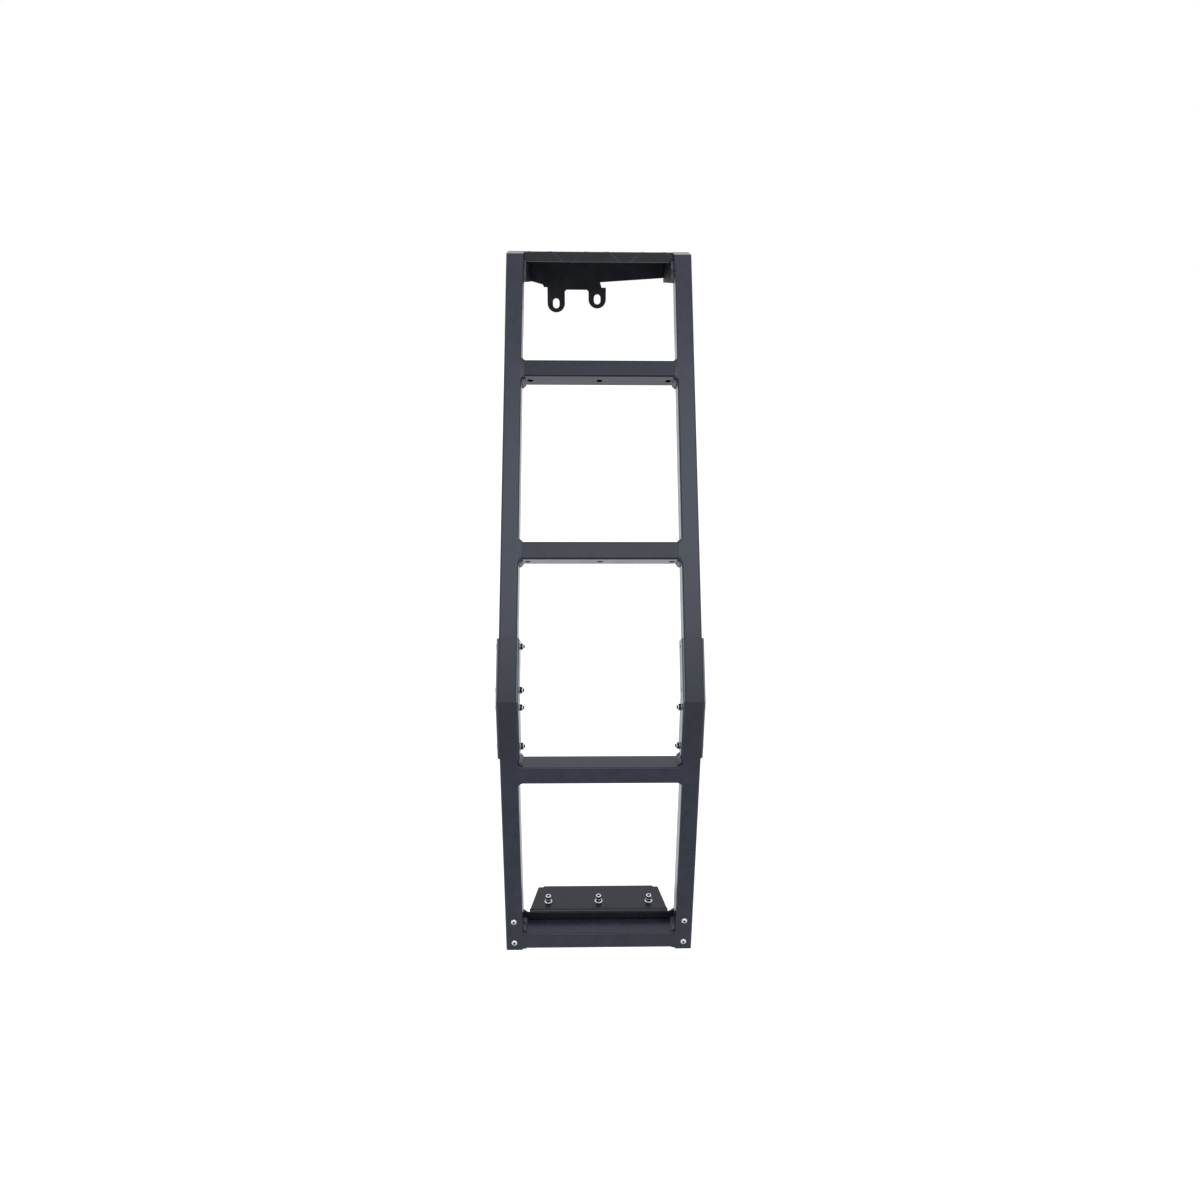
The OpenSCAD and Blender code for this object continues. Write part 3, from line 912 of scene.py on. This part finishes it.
floor = stage_sheet("floor", "pale_floor", (60, 60), (0, 0, FLOOR_HEIGHT), rough=0.9)
floor_paint = floor.data.materials[0]
floor_shader = floor_paint.node_tree.nodes["Principled BSDF"]
floor_shader.inputs["Specular IOR Level"].default_value = 0.0
floor_shader.inputs["Emission Color"].default_value = (0.94, 0.97, 1.1, 1)
ray = add_node(floor_paint, "ShaderNodeLightPath")
seen = add_node(
    floor_paint, "ShaderNodeMath", {"operation": "ADD", "use_clamp": True},
    {0: ray.outputs["Is Camera Ray"], 1: ray.outputs["Is Glossy Ray"]},
)
glow = add_node(
    floor_paint, "ShaderNodeMath", {"operation": "MULTIPLY"}, {0: seen.outputs[0]}
)
glow.inputs[1].default_value = FLOOR_GLOW
floor_paint.node_tree.links.new(glow.outputs[0], floor_shader.inputs["Emission Strength"])

world = bpy.data.worlds.new("white_surround")
bpy.context.scene.world = world
world.use_nodes = True
sky = world.node_tree.nodes["Background"]
sky.inputs["Color"].default_value = (1, 1, 1, 1)
ray = add_node(world, "ShaderNodeLightPath")
seen = add_node(
    world, "ShaderNodeMath", {"operation": "ADD", "use_clamp": True},
    {0: ray.outputs["Is Camera Ray"], 1: ray.outputs["Is Glossy Ray"]},
)
level = add_node(
    world, "ShaderNodeMapRange", {"To Min": SURROUND_LIGHT, "To Max": SURROUND_SEEN},
    {"Value": seen.outputs[0]},
)
world.node_tree.links.new(level.outputs["Result"], sky.inputs["Strength"])

softbox = bpy.data.lights.new("softbox_above", "AREA")
softbox.shape = "RECTANGLE"
softbox.size = 3.0
softbox.size_y = 1.6
softbox.energy = 26
softbox.color = (0.94, 0.97, 1.0)
lamp = bpy.data.objects.new("softbox_above", softbox)
bpy.context.scene.collection.objects.link(lamp)
lamp.location = (0.5, -2.7, 1.9)
lamp.rotation_euler = (
    (Vector((0, -0.4, -0.3)) - lamp.location).to_track_quat("-Z", "Y").to_euler()
)

# Reflection cards: the room behind the camera is dark, so upright faces that look that
# way stay nearly black, and the ground in front of the ladder is grey cloth. Only
# reflections show either of them.
dark_wall = stage_sheet(
    "dark_wall", "dark_grey_cloth", (5.0, 2.1), (0, -4.6, 0.15), upright=True, grey=0.02
)
grey_cloth = stage_sheet(
    "grey_cloth", "grey_cloth", (3.0, 3.8), (0, -2.7, FLOOR_HEIGHT + 10 * MM), grey=0.78
)
for card in (dark_wall, grey_cloth):
    card.visible_camera = False
    card.visible_diffuse = False
    card.visible_shadow = False

# The camera stands where the photograph was taken from, a little left of the middle.
FRAME_PIXELS = 1200
FOCAL_PIXELS = 831
HORIZON_PIXELS = 574.6
SENSOR_WIDTH = 36
camera_data = bpy.data.cameras.new("camera")
camera_data.sensor_width = SENSOR_WIDTH
camera_data.lens = FOCAL_PIXELS / FRAME_PIXELS * SENSOR_WIDTH
camera_data.shift_y = (HORIZON_PIXELS - FRAME_PIXELS / 2) / FRAME_PIXELS
camera_data.clip_end = 200
camera = bpy.data.objects.new("camera", camera_data)
bpy.context.scene.collection.objects.link(camera)
camera.location = Vector((-28.6, -1767.9, -11.0)) * MM
camera.rotation_euler = (
    Matrix.Rotation(math.radians(-18.551), 4, "X")
    @ Matrix.Rotation(math.radians(-1.174), 4, "Z")
    @ Matrix.Rotation(math.radians(90), 4, "X")
).to_euler()
bpy.context.scene.camera = camera
bpy.context.scene.view_settings.view_transform = "Standard"
